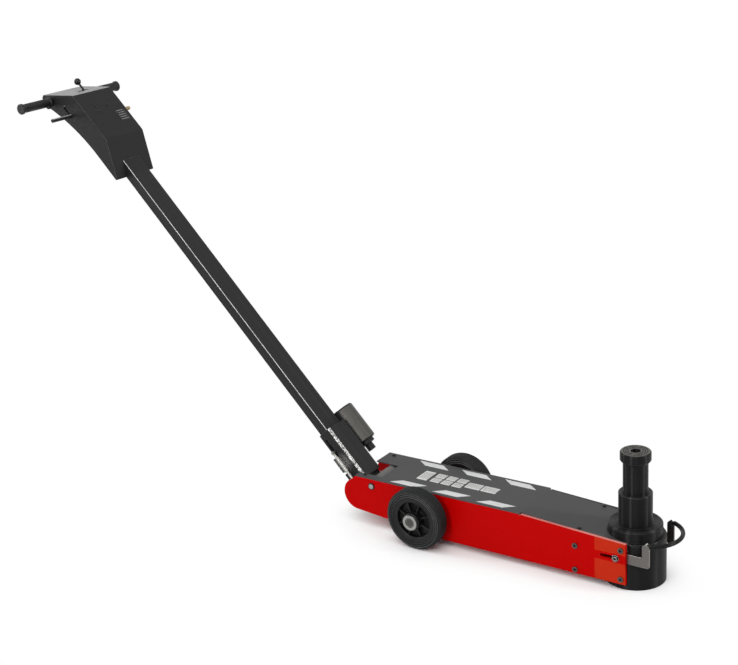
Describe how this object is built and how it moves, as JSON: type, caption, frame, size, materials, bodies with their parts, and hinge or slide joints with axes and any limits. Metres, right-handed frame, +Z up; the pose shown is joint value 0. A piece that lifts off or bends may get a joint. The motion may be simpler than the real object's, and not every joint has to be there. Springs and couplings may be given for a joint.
{
  "type": "air-hydraulic trolley jack",
  "caption": "Low red two-plate chassis on two wheels, a telescopic lifting cylinder at the nose and a long tilting handle with a control head.",
  "frame": {"origin": "on the floor, on the axis of the lifting cylinder", "axes": "+X forward past the lifting cylinder, the handle lies toward -X, +Y to the left side, +Z up"},
  "size_m": [1.8406, 0.37, 1.1153],
  "materials": {
    "red_paint": "gloss red powder coat",
    "cover_paint": "semi-matt dark grey powder coat",
    "black_paint": "satin black powder coat",
    "black_oxide": "black oxide, satin",
    "zinc": "bright zinc plate",
    "bare_steel": "machined steel",
    "motor_grey": "metallic grey, semi-gloss",
    "brass": "turned brass",
    "tyre_rubber": "moulded solid rubber",
    "soft_rubber": "matt black rubber",
    "black_plastic": "moulded black nylon",
    "knob_plastic": "polished black phenolic",
    "aluminium": "milled aluminium",
    "blue_tube": "extruded polyurethane"
  },
  "bodies": {
    "chassis": {"side_plate_right": "red_paint", "side_plate_left": "red_paint", "top_cover": "cover_paint", "cover_screws": "black_oxide", "side_screws": "black_oxide", "front_block": "red_paint", "bottom_plate": "red_paint", "rear_floor": "red_paint", "cross_bar": "bare_steel", "cross_bar_rings": "soft_rubber", "wheel_axle": "black_oxide", "axle_spacers": "zinc", "axle_cups": "zinc", "retaining_clips": "bare_steel", "cylinder_body": "black_oxide", "gland_nut": "black_oxide", "gland_wiper": "soft_rubber", "oil_tank": "black_paint", "valve_block": "aluminium", "pressure_pipe": "bare_steel", "index_plate": "bare_steel", "pivot_lug": "bare_steel", "pivot_pin": "bare_steel"},
    "ram_1": {"ram_1": "black_oxide", "ram_1_gland": "black_oxide"},
    "ram_2": {"ram_2": "black_oxide"},
    "saddle": {"saddle": "black_oxide"},
    "wheel_right": {"tyre_right": "tyre_rubber", "rim_right": "black_plastic", "bush_right": "brass"},
    "wheel_left": {"tyre_left": "tyre_rubber", "rim_left": "black_plastic", "bush_left": "brass"},
    "carry_handle": {"carry_bars": "zinc", "carry_grip": "black_oxide", "slot_bolts": "zinc", "slot_washers": "zinc"},
    "handle": {"handle_sleeve": "black_paint", "sleeve_bushes": "brass", "handle_tube": "black_paint", "plunger_barrel": "zinc", "plunger_bracket": "black_paint", "plunger_spring": "bare_steel", "air_motor_barrel": "motor_grey", "air_motor_cap": "black_paint", "air_motor_base": "black_paint", "air_motor_bracket": "black_paint", "head_housing": "black_paint", "head_bulkhead": "black_paint", "head_screws": "black_oxide", "handlebar": "black_paint", "grips": "soft_rubber", "control_valve": "aluminium", "air_inlet": "brass", "air_tube": "blue_tube"},
    "release": {"plunger_rod": "zinc", "release_rod": "zinc", "release_bar": "black_paint"},
    "lever": {"control_lever": "black_paint", "lever_knob": "knob_plastic"}
  },
  "joints": [
    {"name": "ram_1_lift", "type": "slide", "parent": "chassis", "child": "ram_1", "axis": [0, 0, 1], "range_m": [-0.0745, 0.0045]},
    {"name": "ram_2_lift", "type": "slide", "parent": "ram_1", "child": "ram_2", "axis": [0, 0, 1], "range_m": [-0.074, 0.008]},
    {"name": "saddle_lift_off", "type": "slide", "parent": "ram_2", "child": "saddle", "axis": [0, 0, 1], "range_m": [0, 0.04]},
    {"name": "wheel_right_spin", "type": "hinge", "parent": "chassis", "child": "wheel_right", "pos_m": [-0.541, -0.117, 0.08], "axis": [0, 1, 0], "continuous": true},
    {"name": "wheel_left_spin", "type": "hinge", "parent": "chassis", "child": "wheel_left", "pos_m": [-0.541, 0.117, 0.08], "axis": [0, 1, 0], "continuous": true},
    {"name": "carry_handle_slide", "type": "slide", "parent": "chassis", "child": "carry_handle", "axis": [1, 0, 0], "range_m": [-0.036, 0]},
    {"name": "handle_tilt", "type": "hinge", "parent": "chassis", "child": "handle", "pos_m": [-0.745, -0.021, 0.086], "axis": [0, 1, 0], "range_deg": [-35, 25]},
    {"name": "release_slide", "type": "slide", "parent": "handle", "child": "release", "axis": [-0.682, 0, 0.7314], "range_m": [0, 0.03], "stiffness_N_per_m": 300, "springref_m": -0.02},
    {"name": "control_lever_tilt", "type": "hinge", "parent": "handle", "child": "lever", "pos_m": [-1.60722, -0.011, 1.04581], "axis": [0.7314, 0, 0.682], "range_deg": [-12, 20], "stiffness_Nm_per_rad": 0.6}
  ]
}
